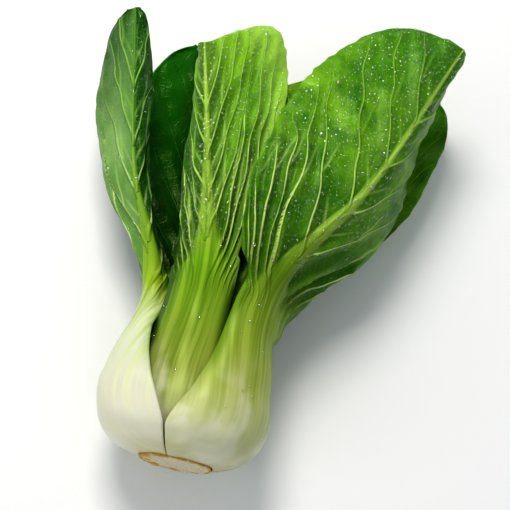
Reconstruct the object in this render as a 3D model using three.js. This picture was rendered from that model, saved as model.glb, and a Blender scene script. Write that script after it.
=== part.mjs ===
// A head of Shanghai bok choy lying on a table, cut end towards -Y and leaf tips towards +Y.
// Every leaf is one solid: a thick spoon-shaped stalk that runs up into the midrib of a thin blade.
// The leaves sit in three rings round a short cut stem, with three heart leaves inside.
// Lengths are in millimetres and angles in degrees. +Z is up and Z = 0 is the table.
import * as THREE from "three";

const cutRadius = 15.2; // the sliced stem
const stemHeight = 23;
const bulbRadius = 36.6; // widest part of the bulb
const axisAboveTable = 35.4; // 1.2 less than the bulb's radius, so that the bulb rests on a flat spot
const pieceGap = 0.45; // clearance between neighbouring pieces at the stem
const stalkEdge = 1.4; // thickness of a stalk's margin
const lamina = 0.8; // thickness of the green blade

// Azimuth runs round the head: 0 faces up, 90 faces +X, 180 faces the table.
// depth is how far a ring lies inside the bulb's skin, and rise how much further in its margins lie. foot is
// the share of that rise at the cut.
const outerRing = { depth: 0, rise: 2.5, foot: 0, thick: 7, rows: 30, columns: 12 };
const middleRing = { depth: 5.7, rise: 3.8, thick: 6.6, rows: 30, columns: 12 };
const innerRing = { depth: 12.3, rise: 2.2, thick: 5, rows: 20, columns: 8 };
const heart = { depth: 18.3, rise: 0.6, thick: 2.4, rows: 14, columns: 6 };

// spread is how many degrees a stalk reaches round the bulb from its middle, and face the azimuth that the
// blade's outside faces. neck, middle and tip are points on the midrib (x, y, z from the middle of the cut
// end). neckHalf is half the stalk's width at the neck, half is half the blade's width, fold the angle at
// the midrib and curl the turn from midrib to margin. Pairs are [left, right], seen from outside with the
// tip up, and positive angles turn towards the heart. widest is where up the blade a half is widest, and
// blunt how rounded its outline is. A leaf can have its own bulb radius, base (bladeBase), taper
// (stalkTaper), turn (turnRange), lean (how far a margin is drawn on towards the tip) and tuck (how far a
// stalk's margin is pressed in on its neighbour).
const leaves = [
  {
    name: "leaf_right", ring: outerRing, azimuth: 46, spread: [59, 58], neckHalf: [13, 13], face: 12,
    neck: [25, 78, 23], middle: [55, 126, 30], tip: [85, 201, 24], base: [0.03, 0.12],
    tuck: [2.4, 0],
    half: [50, 40], widest: [0.56, 0.24], blunt: 0.42, fold: [4, 10], foldTip: [2, 80], curl: [14, 26],
    waves: 3.5, waveHeight: 1.6, phase: 0.4,
  },
  {
    name: "leaf_left", ring: outerRing, azimuth: -78, spread: [58, 62.5], neckHalf: [10.5, 9.3], face: -22,
    neck: [-27.5, 76, 4], middle: [-43.8, 118, 14], tip: [-60, 191, 18], bulb: 38.6,
    turn: [-0.14, 0.12], taper: [2.1, 1.4], tuck: [0, 1.4],
    half: [24, 11], widest: [0.7, 0.62], blunt: 0.45, fold: [10, 96], foldTip: [16, 56], curl: [22, 8],
    waves: 3, waveHeight: 1.2, phase: 1.9,
  },
  {
    name: "leaf_back", ring: outerRing, azimuth: 163, spread: [57, 57], neckHalf: [13, 13], face: 180,
    neck: [6, 76, -31], middle: [1, 130, -39], tip: [2, 192, -40],
    half: [28, 34], widest: [0.6, 0.6], blunt: 0.45, fold: [2, 2], foldTip: [2, 2], curl: [8, 14],
    waves: 3, waveHeight: 1.6, phase: 0.9,
  },
  {
    name: "leaf_front", ring: middleRing, azimuth: -18, spread: [59, 58], neckHalf: [18.5, 14.5], face: 4,
    neck: [-5.5, 79, 27], middle: [-14.5, 126, 31], tip: [-26, 175, 31], lean: [0, 28],
    half: [17, 38], widest: [0.4, 0.68], blunt: 0.33, fold: [22, 6], foldTip: [88, 4], curl: [20, 16],
    waves: 3, waveHeight: 1.2, phase: 2.8,
  },
  {
    name: "leaf_back_right", ring: middleRing, azimuth: 104, spread: [58, 58], neckHalf: [12, 12], face: 162,
    neck: [25, 75, -12], middle: [53, 122, -19], tip: [81, 194, -20],
    half: [20, 34], widest: [0.64, 0.56], blunt: 0.45, fold: [4, 4], foldTip: [4, 4], curl: [10, 34],
    waves: 3.5, waveHeight: 1.4, phase: 1.2,
  },
  {
    name: "leaf_back_left", ring: middleRing, azimuth: -137, spread: [58, 58], neckHalf: [12, 14], face: -168,
    neck: [-16, 76, -20], middle: [-22, 128, -28], tip: [-30, 198, -22], taper: [2.1, 1.5],
    half: [32, 29], widest: [0.6, 0.62], blunt: 0.5, fold: [4, 4], foldTip: [4, 4], curl: [16, 10],
    waves: 3, waveHeight: 1.4, phase: 2.2,
  },
  {
    name: "leaf_inner_right", ring: innerRing, azimuth: 46, spread: [56, 56], neckHalf: [9, 9], face: 30,
    neck: [12, 74, 11], middle: [19, 118, 11], tip: [23, 174, 14],
    half: [20, 22], widest: [0.6, 0.6], blunt: 0.4, fold: [10, 10], foldTip: [10, 10], curl: [26, 30],
    waves: 3, waveHeight: 0.8, phase: 0.3,
  },
  {
    name: "leaf_inner_left", ring: innerRing, azimuth: -78, spread: [56, 56], neckHalf: [8, 8], face: -64,
    neck: [-14.5, 72, 3], middle: [-15, 112, 4], tip: [-16, 160, 7],
    half: [18, 18], widest: [0.58, 0.58], blunt: 0.45, fold: [10, 10], foldTip: [10, 10], curl: [34, 34],
    waves: 3, waveHeight: 0.8, phase: 1.5,
  },
  {
    name: "leaf_inner_back", ring: innerRing, azimuth: 163, spread: [56, 56], neckHalf: [9, 9], face: 165,
    neck: [4, 72, -14], middle: [6, 114, -15], tip: [8, 164, -12],
    half: [20, 18], widest: [0.58, 0.58], blunt: 0.45, fold: [10, 10], foldTip: [10, 10], curl: [34, 30],
    waves: 3, waveHeight: 0.8, phase: 2.6,
  },
  {
    name: "heart_leaf_front", ring: heart, azimuth: -20, spread: [50, 50], neckHalf: [5, 5], face: -20,
    neck: [-3, 64, 9], middle: [-4, 95, 9], tip: [-5, 134, 11],
    half: [10, 10], widest: [0.58, 0.58], blunt: 0.45, fold: [12, 12], foldTip: [12, 12], curl: [36, 36],
    waves: 2, waveHeight: 0.4, phase: 0,
  },
  {
    name: "heart_leaf_right", ring: heart, azimuth: 100, spread: [50, 50], neckHalf: [4.5, 4.5], face: 100,
    neck: [8, 60, -2], middle: [9, 86, -3], tip: [10, 120, -3],
    half: [7.5, 7.5], widest: [0.58, 0.58], blunt: 0.45, fold: [12, 12], foldTip: [12, 12], curl: [36, 36],
    waves: 2, waveHeight: 0.4, phase: 1,
  },
  {
    name: "heart_leaf_left", ring: heart, azimuth: -140, spread: [50, 50], neckHalf: [4.5, 4.5], face: -140,
    neck: [-6, 56, -6], middle: [-7, 80, -7], tip: [-8, 106, -7],
    half: [7, 7], widest: [0.58, 0.58], blunt: 0.45, fold: [12, 12], foldTip: [12, 12], curl: [36, 36],
    waves: 2, waveHeight: 0.4, phase: 2,
  },
];

const bladeBase = [0.03, 0.03]; // how far below the neck a blade starts, as a share of the midrib
const stalkTaper = [2.1, 2.1]; // how soon a stalk narrows above the bulb
const turnRange = [-0.05, 0.5]; // where a blade turns to its face: from the neck, and as a share of the blade

// The stem's radius at a height above the cut.
const stemProfile = [
  [0, 14.6], [0.8, cutRadius], [4, 14.4], [8, 12.8], [12, 10.8], [16, 8.2], [20, 5], [stemHeight, 0],
];

const radians = THREE.MathUtils.degToRad;
const mix = THREE.MathUtils.lerp;
const ease = (value, from, to) => THREE.MathUtils.smoothstep(value, from, to);

function stemRadius(height) {
  const next = stemProfile.findIndex(([h]) => h >= height);
  const [h0, r0] = stemProfile[Math.max(next - 1, 0)];
  const [h1, r1] = stemProfile[next];
  return h1 === h0 ? r0 : mix(r0, r1, (height - h0) / (h1 - h0));
}

// The direction straight out of the head at an azimuth.
const outward = (azimuth) => new THREE.Vector3(Math.sin(radians(azimuth)), 0, Math.cos(radians(azimuth)));

// The midrib: out of the stem, round the bulb's lower corner, over its widest part, then to the leaf's tip.
function midribOf(leaf) {
  const { depth } = leaf.ring;
  const cornerX = cutRadius + pieceGap;
  const bulb = leaf.bulb ?? bulbRadius;
  const corner = bulb - cornerX - depth;
  const bottom = 1 + depth;
  const start = stemRadius(bottom) + pieceGap;
  const stalk = start < cornerX - 2 ? [[start, bottom]] : [];
  stalk.push([cornerX, bottom]);
  for (const turn of [30, 60, 90]) {
    stalk.push([cornerX + corner * Math.sin(radians(turn)), bottom + corner * (1 - Math.cos(radians(turn)))]);
  }
  stalk.push([bulb - depth - 1.3, bottom + corner + 13]);
  const points = stalk.map(([r, y]) => outward(leaf.azimuth).multiplyScalar(r).setY(y));
  points.push(...[leaf.neck, leaf.middle, leaf.tip].map((p) => new THREE.Vector3(...p)));
  const curve = new THREE.CatmullRomCurve3(points, false, "centripetal");
  const steps = 60 * (points.length - 1);
  const lengths = curve.getLengths(steps);
  const shareAt = (index) => lengths[60 * index] / lengths[steps];
  return { curve, bulbAt: shareAt(stalk.length - 2), neckAt: shareAt(stalk.length) };
}

// Half the outline's width: the stalk's, the blade's, and the smooth union of the two.
function widthsAt(leaf, midrib, s, radius, side) {
  const { bulbAt, neckAt } = midrib;
  const upStalk = Math.min(1, Math.max(0, (s - 0.55 * bulbAt) / (neckAt - 0.55 * bulbAt)));
  const narrowing = 1 - (1 - upStalk ** 1.3) ** (leaf.taper ?? stalkTaper)[side];
  const stalk = mix(radius * radians(leaf.spread[side]), leaf.neckHalf[side], narrowing);
  const along = Math.max(0, (s - neckAt) / (1 - neckAt));
  const rib = mix(stalk, 1.2, Math.min(1, 1.25 * along ** 0.5));
  const from = neckAt - (leaf.base ?? bladeBase)[side];
  const q = Math.min(0.996, Math.max(0, (s - from) / (1 - from)));
  const widest = leaf.widest[side];
  const rise = leaf.blunt * widest / (1 - widest);
  const blade = leaf.half[side] * (q / widest) ** rise * ((1 - q) / (1 - widest)) ** leaf.blunt;
  return { rib, outline: (rib ** 4 + blade ** 4) ** 0.25 };
}

// Presses what lies below the table up onto it, with a soft shoulder.
function pressed(z, shoulder) {
  if (z >= shoulder) return z;
  if (z <= -shoulder) return 0;
  return (z + shoulder) ** 2 / (4 * shoulder);
}

// A leaf is a grid of points on its outer face and a second grid inside it, closed round the rim.
function leafGeometry(leaf) {
  const { ring } = leaf;
  const midrib = midribOf(leaf);
  const { curve, bulbAt, neckAt } = midrib;
  const halfColumns = ring.columns / 2;
  const skin = [];
  for (let i = 0; i <= ring.rows; i++) {
    const s = 1 - (1 - i / ring.rows) ** 1.12;
    const centre = curve.getPointAt(s);
    const tangent = curve.getTangentAt(s);
    const radius = Math.hypot(centre.x, centre.z);
    const azimuth = THREE.MathUtils.radToDeg(Math.atan2(centre.x, centre.z));
    const bladeShare = ease(s, neckAt - 0.12, neckAt + 0.06);
    const upBlade = Math.min(1, Math.max(0, (s - neckAt) / (1 - neckAt)));
    const [turnFrom, turnTo] = leaf.turn ?? turnRange;
    const turned = ease(s, neckAt + turnFrom, mix(neckAt, 1, turnTo));
    let swing = leaf.face - azimuth;
    swing -= 360 * Math.round(swing / 360);
    const radial = outward(azimuth);
    const facing = outward(azimuth + swing * turned);
    const normal = facing.clone().addScaledVector(tangent, -facing.dot(tangent)).normalize();
    const across = new THREE.Vector3().crossVectors(tangent, normal);
    const up = radial.clone().lerp(normal, bladeShare).normalize();
    const sideways = outward(azimuth + 90).lerp(across, bladeShare).normalize();
    const row = [];
    for (const side of [0, 1]) {
      const sign = side ? 1 : -1;
      const { rib, outline } = widthsAt(leaf, midrib, s, radius, side);
      const cells = [];
      let x = 0;
      let y = 0;
      for (let j = 0; j <= halfColumns; j++) {
        const t = (j / halfColumns) ** 1.25;
        const u = t * outline;
        if (j > 0) {
          const step = u - cells[j - 1].u;
          const mid = u - step / 2;
          const fold = mix(leaf.fold[side], leaf.foldTip[side], upBlade);
          const foldHere = radians(fold) * bladeShare * Math.min(1, mid / 5);
          const curlHere = mix(mid / radius, radians(leaf.curl[side]) * mid / outline, bladeShare);
          x += Math.cos(foldHere + curlHere) * step;
          y -= Math.sin(foldHere + curlHere) * step;
        }
        const ripple = Math.sin(2 * Math.PI * leaf.waves * upBlade + leaf.phase + 2 * side);
        const wave = bladeShare * leaf.waveHeight * t ** 2.2 * ripple;
        const point = centre.clone().addScaledVector(sideways, sign * x).addScaledVector(up, y + wave);
        const lean = (leaf.lean ?? [0, 0])[side] * (u / leaf.half[side]) ** 1.3;
        point.addScaledVector(tangent, lean * bladeShare);
        const bulge = Math.max(0, 1 - (u / rib) ** 2) ** 0.8;
        const ridgeOut = mix(3, 0.4, upBlade ** 0.7) * bulge;
        const ridgeIn = mix(3, 0.1, upBlade ** 0.5) * bulge;
        const tuck = (leaf.tuck ?? [0, 0])[side] * ease(s, 0.5 * bulbAt, bulbAt);
        const flush = mix(ring.foot ?? 1, 1, ease(s, 0, 0.5 * bulbAt));
        const sink = ring.rise * t ** 1.6 * flush + tuck * t ** 3;
        const crescent = stalkEdge + (ring.thick - stalkEdge) * (1 - t * t) ** 1.2;
        cells.push({
          u,
          point,
          raise: mix(-sink, ridgeOut, bladeShare),
          thick: mix(crescent, lamina + ridgeOut + ridgeIn, bladeShare),
          shoulder: mix(0.4, 3, bladeShare),
        });
      }
      row.push(cells);
    }
    skin.push([...row[0].slice(1).reverse(), ...row[1]]);
  }
  const last = skin[0].length - 1;
  const at = (i, j) => skin[Math.min(Math.max(i, 0), ring.rows)][Math.min(Math.max(j, 0), last)].point;
  const outer = [];
  const inner = [];
  for (let i = 0; i <= ring.rows; i++) {
    for (let j = 0; j <= last; j++) {
      const { point, raise, thick, shoulder } = skin[i][j];
      const alongS = at(i + 1, j).clone().sub(at(i - 1, j));
      const alongU = at(i, j + 1).clone().sub(at(i, j - 1));
      const n = alongU.cross(alongS).normalize();
      const face = point.clone().addScaledVector(n, raise);
      const back = face.clone().addScaledVector(n, -thick);
      face.z += axisAboveTable;
      back.z += axisAboveTable;
      const low = Math.min(face.z, back.z);
      const lift = pressed(low, shoulder) - low;
      face.z += lift;
      back.z += lift;
      outer.push(face);
      inner.push(back);
    }
  }
  return closedSheet(outer, inner, ring.rows + 1, last + 1);
}

// Joins two grids of rows by columns points into one closed surface, split alike on both faces.
function closedSheet(outer, inner, rows, columns) {
  const positions = [...outer, ...inner].flatMap((p) => [p.x, p.y, p.z]);
  const faces = [];
  const quad = (a, b, c, d) => faces.push(a, b, c, a, c, d);
  const front = (i, j) => i * columns + j;
  const back = (i, j) => rows * columns + front(i, j);
  for (let i = 0; i < rows - 1; i++) {
    for (let j = 0; j < columns - 1; j++) {
      quad(front(i, j), front(i, j + 1), front(i + 1, j + 1), front(i + 1, j));
      faces.push(back(i, j), back(i + 1, j + 1), back(i, j + 1));
      faces.push(back(i, j), back(i + 1, j), back(i + 1, j + 1));
    }
    quad(front(i, 0), front(i + 1, 0), back(i + 1, 0), back(i, 0));
    quad(front(i + 1, columns - 1), front(i, columns - 1), back(i, columns - 1), back(i + 1, columns - 1));
  }
  for (let j = 0; j < columns - 1; j++) {
    quad(front(0, j + 1), front(0, j), back(0, j), back(0, j + 1));
    quad(front(rows - 1, j), front(rows - 1, j + 1), back(rows - 1, j + 1), back(rows - 1, j));
  }
  const geometry = new THREE.BufferGeometry();
  geometry.setAttribute("position", new THREE.Float32BufferAttribute(positions, 3));
  geometry.setIndex(faces);
  geometry.computeVertexNormals();
  return geometry;
}

// The cut stem is a short cone, hidden in the bulb except for the slice at its foot.
function stemGeometry() {
  const profile = [new THREE.Vector2(0, 0), ...stemProfile.map(([h, r]) => new THREE.Vector2(r, h))];
  return new THREE.LatheGeometry(profile, 28).translate(0, 0, axisAboveTable);
}

const leafMaterial = new THREE.MeshStandardMaterial({ color: "#5f9a2c", roughness: 0.42, metalness: 0 });
const heartMaterial = new THREE.MeshStandardMaterial({ color: "#a3bf4e", roughness: 0.45, metalness: 0 });
const stemMaterial = new THREE.MeshStandardMaterial({ color: "#e6e0c8", roughness: 0.6, metalness: 0 });

const bokChoy = new THREE.Group();

function add(name, geometry, material) {
  const mesh = new THREE.Mesh(geometry, material);
  mesh.name = name;
  bokChoy.add(mesh);
}

add("cut_stem", stemGeometry(), stemMaterial);
for (const leaf of leaves) {
  add(leaf.name, leafGeometry(leaf), leaf.ring === heart ? heartMaterial : leafMaterial);
}

// The origin goes to the bottom centre of the head's box.
const middle = new THREE.Box3().setFromObject(bokChoy).getCenter(new THREE.Vector3());
for (const mesh of bokChoy.children) mesh.geometry.translate(-middle.x, -middle.y, 0);

export default bokChoy;
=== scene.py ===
# A head of Shanghai bok choy lying on a pale table, just rinsed.
import math

import bmesh
import bpy
import numpy as np
from mathutils import Matrix, Vector


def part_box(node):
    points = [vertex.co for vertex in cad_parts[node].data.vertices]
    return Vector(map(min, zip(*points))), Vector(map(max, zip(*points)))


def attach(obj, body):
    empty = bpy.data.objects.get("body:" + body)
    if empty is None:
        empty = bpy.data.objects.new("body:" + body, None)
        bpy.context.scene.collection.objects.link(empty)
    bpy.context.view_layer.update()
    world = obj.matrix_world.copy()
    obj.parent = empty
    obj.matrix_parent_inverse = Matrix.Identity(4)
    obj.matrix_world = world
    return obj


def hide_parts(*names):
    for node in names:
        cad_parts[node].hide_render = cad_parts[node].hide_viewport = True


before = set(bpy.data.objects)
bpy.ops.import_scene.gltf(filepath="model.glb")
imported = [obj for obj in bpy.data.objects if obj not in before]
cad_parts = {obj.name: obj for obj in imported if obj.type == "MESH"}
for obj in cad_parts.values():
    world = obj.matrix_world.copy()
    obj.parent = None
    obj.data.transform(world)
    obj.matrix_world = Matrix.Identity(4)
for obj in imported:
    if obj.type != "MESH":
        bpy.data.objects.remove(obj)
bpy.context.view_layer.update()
mm = 0.001

# The head's own axis: x and z from the middle of the stem, y from the slice. Leaf points are mm from there.
stemLow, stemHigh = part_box("cut_stem")
axisX = (stemLow[0] + stemHigh[0]) / 2
axisZ = (stemLow[2] + stemHigh[2]) / 2
cutCentre = np.array([axisX, stemLow[1], axisZ]) / mm


# Colours are written as sRGB hex, and shaders want linear.
def toLinear(hexColour):
    channels = [int(hexColour[i:i + 2], 16) / 255 for i in (1, 3, 5)]
    return tuple(c / 12.92 if c <= 0.04045 else ((c + 0.055) / 1.055) ** 2.4 for c in channels) + (1.0,)


# Adds one node. A link is a socket given in place of a value.
def addNode(tree, kind, inputs=None, stops=None, **settings):
    node = tree.nodes.new(kind)
    for name, value in settings.items():
        setattr(node, name, value)
    for name, value in (inputs or {}).items():
        if isinstance(value, bpy.types.NodeSocket):
            tree.links.new(value, node.inputs[name])
        else:
            node.inputs[name].default_value = value
    if stops:
        ramp = node.color_ramp
        while len(ramp.elements) < len(stops):
            ramp.elements.new(1.0)
        for element, (place, colour) in zip(ramp.elements, stops):
            element.position = place
            element.color = toLinear(colour)
    return node


# Plain values go on the shader's own sockets. What varies over a surface is linked later.
def newMaterial(name, plain):
    material = bpy.data.materials.new(name)
    material.use_nodes = True
    tree = material.node_tree
    tree.nodes.clear()
    surface = addNode(tree, "ShaderNodeBsdfPrincipled", plain)
    output = addNode(tree, "ShaderNodeOutputMaterial")
    tree.links.new(surface.outputs["BSDF"], output.inputs["Surface"])
    return material, tree, surface


# Leaf maps are laid out in units of 100 mm, across the leaf and along its midrib.
mapUnit = 100.0

# Living leaf and stalk: a thin waxy skin over juicy tissue, so a satin gloss with some glow from inside.
leafTissue = {
    "ior": 1.38,
    "skinTint": "#d4eea6",    # the gloss takes up some of the green under it
    "bladeRoughness": 0.3,
    "stalkRoughness": 0.36,
    "glow": 0.1,              # light scattered inside the tissue, green going furthest
    "glowReach": (0.7, 1.0, 0.25),
    "glowDepth": 1.6 * mm,
    "fibre": 3.2,             # mm between the stripes of a stalk
    "fibreLength": 90.0,
    "foot": "#cfcba8",
    "footStripe": "#c6c296",
    "bloom": "#e4e2d4",
    "edge": "#a3a04c",        # margins dry to this near the slice
    "bloomSize": 26.0,        # mm
    "netCell": 4.2,           # mm across the cells of the vein net, coarser than real ones so that it shows
    "fineCell": 1.5,
    "netWander": 4.0,         # mm over which its lines wander, and how far
    "netBend": 0.018,
    "netShow": 0.07,          # share of the veins' pale colour in the net, and in the forks
    "forkShow": 0.6,
    "mottle": 18.0,           # mm across the light and dark patches
    "ribShade": 0.6,          # deeper green beside the midrib
    "netRelief": 0.07 * mm,
    "fibreRelief": 0.06 * mm,
}

# Stalk and stripe colours run up from the foot, past the neck at 0.5, to the tip at 1. The turned colour is
# painted shade for a half that faces away from the light, and the halves say how much of it a half holds. The
# right margin's share says how much painted sheen lies on the right margin.
leafColours = {
    "outer": {
        "tipFrom": 0.8, "turned": "#174600",
        "stalk": [(0.08, "#c9caa4"), (0.16, "#c2c794"), (0.24, "#b2ba6e"), (0.34, "#9fb04c"),
                  (0.44, "#8ca63a"), (0.52, "#6f8e22"), (0.62, "#8aa840"), (0.8, "#9cc050"),
                  (1.0, "#a3c455")],
        "stripe": [(0.08, "#c8ca9c"), (0.16, "#b2ba78"), (0.24, "#8c9c3e"), (0.34, "#748a24"),
                   (0.5, "#56750f"), (1.0, "#6f9524")],
        "margin": "#668a14", "deep": "#34660c", "shade": "#337402", "light": "#76ac14", "tip": "#3c7e02",
        "vein": "#cfe292", "veinHigh": "#86b43e",
    },
    # The left leaf, facing the light. Its grey-green blade is partly a waxy bloom and partly painted sheen, its
    # low stalk is whitened as a painted highlight, and its tip and right half are deep green as painted shade
    # where they turn from the light.
    "pale": {
        "tipFrom": 0.7, "turned": "#0a5200", "rightHalfShade": 0.95,
        "stalk": [(0.08, "#e2e0ce"), (0.2, "#d3d2c3"), (0.32, "#d0d5bc"), (0.41, "#ccd6a8"),
                  (0.48, "#a4bc38"), (0.56, "#8cb03c"), (0.7, "#86b048"), (1.0, "#3f8412")],
        "stripe": [(0.08, "#dedcc0"), (0.2, "#dcdfba"), (0.32, "#c0ce8a"), (0.4, "#98b23a"),
                   (0.48, "#7c9e20"), (1.0, "#6f9a2a")],
        "margin": "#6f930e", "deep": "#66924a", "shade": "#6e9650", "light": "#94b672", "tip": "#0f5402",
        "vein": "#cbe0a0", "veinHigh": "#8cb45c",
    },
    # The front leaf: its dark margin green, mostly on the left, is painted shade from the left leaf over it.
    # Some of its left half holds painted shade, and its right margin painted sheen.
    "front": {
        "tipFrom": 0.8, "turned": "#174a02", "leftHalfShade": 0.45, "thinRight": 0.8,
        "stalk": [(0.12, "#b8bd86"), (0.22, "#a0aa58"), (0.3, "#92a442"), (0.4, "#8caa36"),
                  (0.5, "#86ae26"), (0.6, "#98ba40"), (1.0, "#a9cc5c")],
        "stripe": [(0.12, "#939e4a"), (0.22, "#6c8022"), (0.3, "#5f7c14"), (0.4, "#557c0a"),
                   (0.5, "#4c7c08"), (1.0, "#6f9f2a")],
        "margin": "#224a02", "deep": "#224e02", "shade": "#427e06", "light": "#6ca40e", "tip": "#80b422",
        "vein": "#cbe284", "veinHigh": "#a2ce54",
    },
    # Leaves deep in the head and behind it: their near-black greens are painted shade, less of it towards the
    # tip.
    "back": {
        "tipFrom": 0.62, "turned": "#052a00",
        "stalk": [(0.1, "#d0d2ac"), (0.27, "#a0b25c"), (0.38, "#76962e"), (0.5, "#548016"),
                  (0.62, "#4c7a16"), (1.0, "#5c8a2a")],
        "stripe": [(0.1, "#b4be80"), (0.27, "#7a9634"), (0.38, "#557616"), (0.5, "#3a640a"),
                   (1.0, "#467018")],
        "margin": "#33590a", "deep": "#052a00", "shade": "#0b3c02", "light": "#1c5a06", "tip": "#1c7206",
        "vein": "#3f6e26", "veinHigh": "#2f6a1c",
    },
    "heart": {
        "tipFrom": 0.8, "turned": "#6f9a24",
        "stalk": [(0.2, "#d3d6a6"), (0.38, "#bccb72"), (0.5, "#a5bc48"), (1.0, "#bccf70")],
        "stripe": [(0.2, "#bcc97a"), (0.38, "#a0b444"), (0.5, "#88a828"), (1.0, "#a0bd50")],
        "margin": "#8aa83a", "deep": "#6f9a24", "shade": "#74a022", "light": "#9cc23c", "tip": "#9cc23c",
        "vein": "#cbdd92", "veinHigh": "#bcd47c",
    },
}


def leafMaterial(name, colours):
    look = leafTissue
    material, tree, surface = newMaterial(name, {
        "IOR": look["ior"], "Specular Tint": toLinear(look["skinTint"]), "Subsurface Weight": look["glow"],
        "Subsurface Radius": look["glowReach"], "Subsurface Scale": look["glowDepth"],
    })
    leafMap = addNode(tree, "ShaderNodeUVMap", uv_map="leafMap").outputs["UV"]
    along, across, side, blade, forks, veinCount, veinGap, veinHalf = [
        addNode(tree, "ShaderNodeAttribute", attribute_name=key).outputs["Fac"]
        for key in ("along", "across", "side", "blade", "veins", "veinCount", "veinGap", "veinHalf")
    ]

    # Main veins lie at the whole numbers of the count. offVein is how many half widths away the nearest is.
    between = addNode(tree, "ShaderNodeMath", {0: veinCount, 1: 0.5}, operation="PINGPONG").outputs[0]
    distance = addNode(tree, "ShaderNodeMath", {0: between, 1: veinGap}, operation="MULTIPLY").outputs[0]
    widened = addNode(tree, "ShaderNodeMath", {0: veinHalf, 1: 0.02}, operation="ADD").outputs[0]
    offVein = addNode(tree, "ShaderNodeMath", {0: distance, 1: widened}, operation="DIVIDE").outputs[0]

    # Stalk fibres run its whole length, so their pattern is stretched along the leaf.
    stretched = addNode(tree, "ShaderNodeMapping", {
        "Vector": leafMap, "Scale": (mapUnit / look["fibre"], mapUnit / look["fibreLength"], 1.0),
    }).outputs["Vector"]
    fibres = addNode(tree, "ShaderNodeTexNoise", {
        "Vector": stretched, "Scale": 1.0, "Detail": 3.0, "Roughness": 0.55,
    }, noise_dimensions="2D").outputs["Fac"]
    bloomPatches = addNode(tree, "ShaderNodeTexNoise", {
        "Vector": leafMap, "Scale": mapUnit / look["bloomSize"], "Detail": 3.0, "Roughness": 0.5,
    }, noise_dimensions="2D").outputs["Fac"]
    mottle = addNode(tree, "ShaderNodeTexNoise", {
        "Vector": leafMap, "Scale": mapUnit / look["mottle"], "Detail": 4.0, "Roughness": 0.6,
    }, noise_dimensions="2D").outputs["Fac"]
    # The net of fine veins has cells of two sizes, and wanders a little.
    wander = addNode(tree, "ShaderNodeTexNoise", {
        "Vector": leafMap, "Scale": mapUnit / look["netWander"], "Detail": 2.0,
    }, noise_dimensions="2D").outputs["Color"]
    bentMap = addNode(tree, "ShaderNodeMix", {
        0: look["netBend"], 4: leafMap, 5: wander,
    }, data_type="VECTOR").outputs[1]
    net, fineNet = [
        addNode(tree, "ShaderNodeTexVoronoi", {"Vector": bentMap, "Scale": mapUnit / look[cell]},
                voronoi_dimensions="2D", feature="DISTANCE_TO_EDGE").outputs["Distance"]
        for cell in ("netCell", "fineCell")
    ]

    # Soft steps: what each reads, where it runs from and to, and its value at both ends.
    soft = {
        "stripes": (fibres, 0.36, 0.7, 0.0, 0.75),
        "bloomSpots": (bloomPatches, 0.42, 0.66, 0.0, 0.55),
        "lowStalk": (along, 0.12, 0.34, 1.0, 0.0),
        "aboveBase": (along, 0.13, 0.34, 0.0, 1.0),
        "nearMargin": (across, 0.62, 1.0, 0.0, 0.8),
        "atEdge": (across, 0.95, 1.0, 0.0, 0.55),
        "lowBlade": (along, 0.5, 0.8, 0.95, 0.0),
        "highBlade": (along, colours["tipFrom"], 0.97, 0.0, 0.88),
        # Painted shade: the blade is darker between the veins than on them.
        "valleyShade": (between, 0.04, 0.3, 0.25, 1.0),
        "nearRib": (across, 0.05, 0.42, look["ribShade"], 0.0),
        # Painted sheen on the outer part of the right margin.
        "thinMargin": (across, 0.5, 0.95, 0.0, colours.get("thinRight", 0.0)),
        "netLines": (net, 0.0, 0.09, 1.0, 0.0),
        "fineLines": (fineNet, 0.0, 0.16, 0.5, 0.0),
        "mainLine": (offVein, 0.35, 1.15, 1.0, 0.0),
        "upVein": (along, 0.54, 0.82, 0.0, 1.0),
        "ridge": (offVein, 0.0, 2.2, veinPlan["relief"], 0.0),
    }
    for key, (source, low, high, first, last) in soft.items():
        soft[key] = addNode(tree, "ShaderNodeMapRange", {
            "Value": source, "From Min": low, "From Max": high, "To Min": first, "To Max": last,
        }, interpolation_type="SMOOTHSTEP").outputs["Result"]
    present = addNode(tree, "ShaderNodeMapRange", {
        "Value": veinHalf, "From Min": 0.02, "From Max": 0.2,
    }).outputs["Result"]
    patchiness = addNode(tree, "ShaderNodeMapRange", {
        "Value": mottle, "From Min": 0.35, "From Max": 0.68,
    }).outputs["Result"]

    # How much shows of each coat. A half that is turned from the light holds a deeper green, as painted shade.
    leftSide = addNode(tree, "ShaderNodeMath", {0: 1.0, 1: side}, operation="SUBTRACT").outputs[0]
    lines = addNode(tree, "ShaderNodeMath", {
        0: soft["netLines"], 1: soft["fineLines"],
    }, operation="MAXIMUM").outputs[0]
    share = {
        "bloom": (soft["bloomSpots"], soft["lowStalk"]),
        "margin": (soft["nearMargin"], soft["aboveBase"]),
        "edge": (soft["atEdge"], soft["lowStalk"]),
        # A deeper green low on the blade, strongest in the valleys between the veins as painted shade.
        "low": (soft["lowBlade"], soft["valleyShade"]),
        "left": (leftSide, colours.get("leftHalfShade", 0.0)),
        "right": (side, colours.get("rightHalfShade", 0.0)),
        # Painted sheen on the right margin.
        "thin": (soft["thinMargin"], side),
        "net": (lines, look["netShow"]),
        "main": (soft["mainLine"], present),
        "forks": (forks, look["forkShow"]),
        "netHeight": (lines, blade),
        "ridge": (soft["ridge"], veinHalf),
    }
    for key, (first, second) in share.items():
        share[key] = addNode(tree, "ShaderNodeMath", {0: first, 1: second}, operation="MULTIPLY").outputs[0]
    deepAndShadeShare = addNode(tree, "ShaderNodeMath", {
        0: share["low"], 1: soft["nearRib"],
    }, operation="MAXIMUM").outputs[0]
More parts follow.
